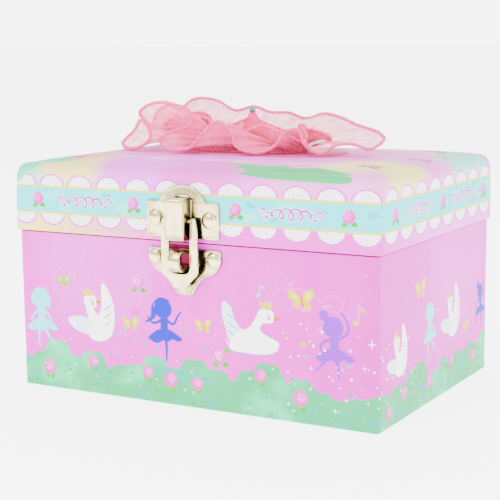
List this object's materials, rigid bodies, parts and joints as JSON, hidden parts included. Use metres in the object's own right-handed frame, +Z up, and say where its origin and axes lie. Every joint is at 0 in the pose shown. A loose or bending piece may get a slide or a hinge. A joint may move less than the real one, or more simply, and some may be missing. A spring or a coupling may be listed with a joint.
{
  "type": "musical jewellery box",
  "caption": "Musical ballerina jewellery box in printed paper, with a hinged padded lid, hasp and staple latch, folding dancer on a spindle, comb movement and net ruffle on the lid.",
  "frame": {"origin": "middle of the flat underside of the base", "axes": "+X along the width, to the right seen from the front; -Y out of the latch side; +Z up"},
  "size_m": [0.152, 0.1299, 0.1089],
  "materials": {
    "greyboard": "matt grey pulp board",
    "printed_paper": "gloss-varnished printed paper, pink with pastel ballet pictures",
    "lining_paper": "satin pink lining paper",
    "trim_paper": "magenta trim paper",
    "stage_velvet": "short flock",
    "velvet": "pink velvet over foam",
    "wadding": "white polyester wadding",
    "tulle": "pink nylon tulle with a merrowed edge",
    "satin": "pink satin",
    "dancer_net": "stiff pale pink net",
    "nickel": "bright warm nickel plate",
    "brass_plate": "brass-plated steel",
    "brass": "machined brass",
    "steel": "fine brushed steel",
    "spring_steel": "tempered spring steel",
    "cast_zinc": "zinc casting",
    "mirror_glass": "silvered acrylic mirror",
    "wood_block": "raw poplar",
    "glass_bead": "dark green faceted bead",
    "doll_plastic": "hand-painted moulded plastic"
  },
  "bodies": {
    "case": {"front_board": "greyboard", "back_board": "greyboard", "left_board": "greyboard", "right_board": "greyboard", "floor_board": "greyboard", "case_wrap": "printed_paper", "case_lining": "lining_paper", "stage_board": "stage_velvet", "movement_partition": "stage_velvet", "compartment_divider": "lining_paper", "ring_rolls": "velvet", "stage_bushing": "brass", "latch_lower_plate": "nickel", "latch_staple": "nickel", "latch_lower_rivets": "nickel", "hinge_base_leaves": "brass_plate", "hinge_pins": "steel", "hinge_base_tacks": "brass_plate", "bedplate": "cast_zinc", "front_cheek": "brass", "rear_cheek": "brass", "comb": "steel", "comb_screws": "steel", "governor_bracket": "brass", "spindle_bracket": "brass", "mounting_screws": "steel"},
    "lid": {"lid_front_board": "greyboard", "lid_back_board": "greyboard", "lid_left_board": "greyboard", "lid_right_board": "greyboard", "lid_top_board": "greyboard", "lid_padding": "wadding", "lid_wrap": "printed_paper", "lid_lining": "lining_paper", "lid_mirror": "mirror_glass", "mirror_frame": "trim_paper", "stop_pad": "wood_block", "ruffle_base": "satin", "tulle_ruffle": "tulle", "ruffle_bead": "glass_bead", "latch_upper_plate": "nickel", "latch_upper_rivets": "nickel", "hinge_lid_leaves": "brass_plate", "hinge_lid_tacks": "brass_plate"},
    "hasp": {"hasp": "nickel"},
    "key": {"winding_arbor": "steel", "winding_key": "brass_plate", "ratchet_wheel": "steel"},
    "barrel": {"spring_barrel": "brass", "mainspring": "spring_steel"},
    "cylinder": {"music_cylinder": "brass", "crown_wheel": "brass"},
    "governor": {"governor_wheel": "brass"},
    "fly": {"governor_fly": "steel"},
    "spindle": {"dancer_spindle": "brass", "dancer_spring": "spring_steel"},
    "dancer": {"dancer_figure": "doll_plastic", "dancer_skirt": "dancer_net"},
    "stop": {"stop_wire": "spring_steel"}
  },
  "joints": [
    {"name": "lid_hinge", "type": "hinge", "parent": "case", "child": "lid", "pos_m": [0, 0.0555, 0.0603], "axis": [-1, 0, 0], "range_deg": [0, 100]},
    {"name": "hasp_swing", "type": "hinge", "parent": "lid", "child": "hasp", "pos_m": [0, -0.0569, 0.0684], "axis": [-1, 0, 0], "range_deg": [0, 150]},
    {"name": "key_wind", "type": "hinge", "parent": "case", "child": "key", "pos_m": [-0.044, 0.057, 0.02], "axis": [0, 1, 0], "continuous": true},
    {"name": "cylinder_spin", "type": "hinge", "parent": "case", "child": "cylinder", "pos_m": [-0.026, 0.024, 0.02], "axis": [0, 1, 0], "continuous": true},
    {"name": "barrel_spin", "type": "hinge", "parent": "case", "child": "barrel", "pos_m": [-0.044, 0.028, 0.02], "axis": [0, 1, 0], "continuous": true},
    {"name": "governor_spin", "type": "hinge", "parent": "case", "child": "governor", "pos_m": [-0.03728, 0.005, 0.0159], "axis": [0, 1, 0], "continuous": true},
    {"name": "fly_spin", "type": "hinge", "parent": "case", "child": "fly", "pos_m": [-0.04488, 0.005, 0.0159], "axis": [0, 0, 1], "continuous": true},
    {"name": "dancer_spin", "type": "hinge", "parent": "case", "child": "spindle", "pos_m": [-0.026, 0.004, 0.029], "axis": [0, 0, 1], "continuous": true},
    {"name": "dancer_fold", "type": "hinge", "parent": "spindle", "child": "dancer", "pos_m": [-0.026, 0.004, 0.05], "axis": [-1, 0, 0], "range_deg": [0, 60], "deforming": ["dancer_spring"]},
    {"name": "stop_slide", "type": "slide", "parent": "case", "child": "stop", "axis": [0, 0, 1], "range_m": [0, 0.004]}
  ],
  "couplings": [
    {"joint": "barrel_spin", "follows": "cylinder_spin", "ratio": -0.33333},
    {"joint": "governor_spin", "follows": "cylinder_spin", "ratio": -3},
    {"joint": "fly_spin", "follows": "cylinder_spin", "ratio": 72},
    {"joint": "dancer_spin", "follows": "cylinder_spin", "ratio": -2},
    {"joint": "dancer_fold", "follows": "lid_hinge", "ratio": 0.6},
    {"joint": "stop_slide", "follows": "lid_hinge", "m_per_rad": 0.00229}
  ]
}
